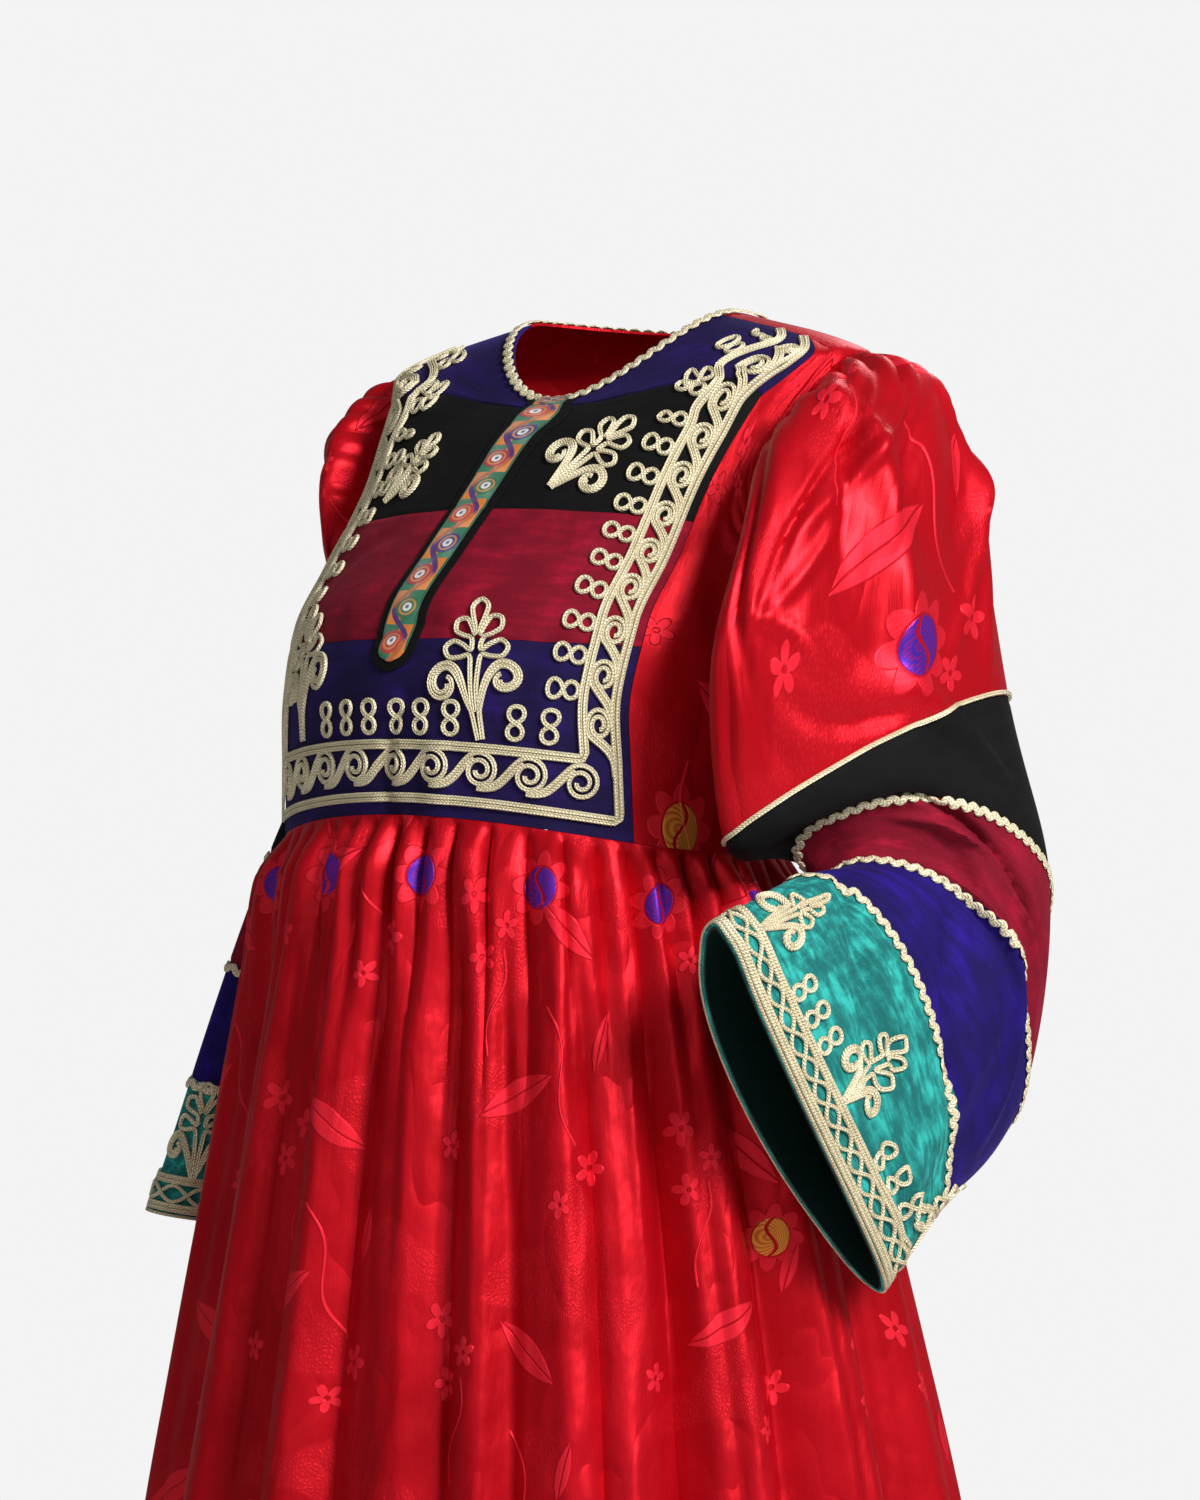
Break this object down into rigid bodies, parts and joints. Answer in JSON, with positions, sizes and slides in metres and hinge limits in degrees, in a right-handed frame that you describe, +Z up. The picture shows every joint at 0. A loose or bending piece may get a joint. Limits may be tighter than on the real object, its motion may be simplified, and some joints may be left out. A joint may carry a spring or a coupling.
{
  "type": "afghan dress",
  "caption": "Long gathered dress with a patchwork bib, high waist seam and wide banded sleeves, open at neck, cuffs and hem, in its worn form.",
  "frame": {"origin": "midway between the two neck-side points of the shoulder seams, where the dress is carried", "axes": "+Z up, -Y to the dress's front, +X to the dress's own left"},
  "size_m": [0.743, 0.679, 1.2725],
  "materials": {
    "satin_red": "red satin brocade, self-coloured flowers and coloured medallions",
    "velvet_navy": "purple-navy velvet",
    "velvet_black": "black velvet",
    "velvet_crimson": "crimson velvet",
    "velvet_blue": "blue-purple velvet",
    "velvet_teal": "teal crushed velvet",
    "lining_dark": "dark green plain lining",
    "cord_gold": "champagne metallic braid",
    "ribbon": "woven ribbon with flowers"
  },
  "bodies": {
    "root": {"bib_yoke": "velvet_navy", "bib_black": "velvet_black", "bib_crimson": "velvet_crimson", "bib_navy": "velvet_navy", "placket_border": "velvet_black", "placket_ribbon": "ribbon", "side_front_left": "satin_red", "side_front_right": "satin_red", "bodice_back": "satin_red", "skirt_front_right": "satin_red", "skirt_front_left": "satin_red", "skirt_back_left": "satin_red", "skirt_back_right": "satin_red", "neck_rickrack": "cord_gold", "rail_outer": "cord_gold", "rail_inner": "cord_gold", "sleeve_left": "satin_red", "band_black_left": "velvet_black", "band_crimson_left": "velvet_crimson", "band_blue_left": "velvet_blue", "cuff_left": "velvet_teal", "cuff_lining_left": "lining_dark", "piping_left": "cord_gold", "rickrack_1_left": "cord_gold", "rickrack_2_left": "cord_gold", "rickrack_3_left": "cord_gold", "cuff_rail_edge_left": "cord_gold", "sleeve_right": "satin_red", "band_black_right": "velvet_black", "band_crimson_right": "velvet_crimson", "band_blue_right": "velvet_blue", "cuff_right": "velvet_teal", "cuff_lining_right": "lining_dark", "piping_right": "cord_gold", "rickrack_1_right": "cord_gold", "rickrack_2_right": "cord_gold", "rickrack_3_right": "cord_gold", "cuff_rail_edge_right": "cord_gold"}
  },
  "joints": []
}
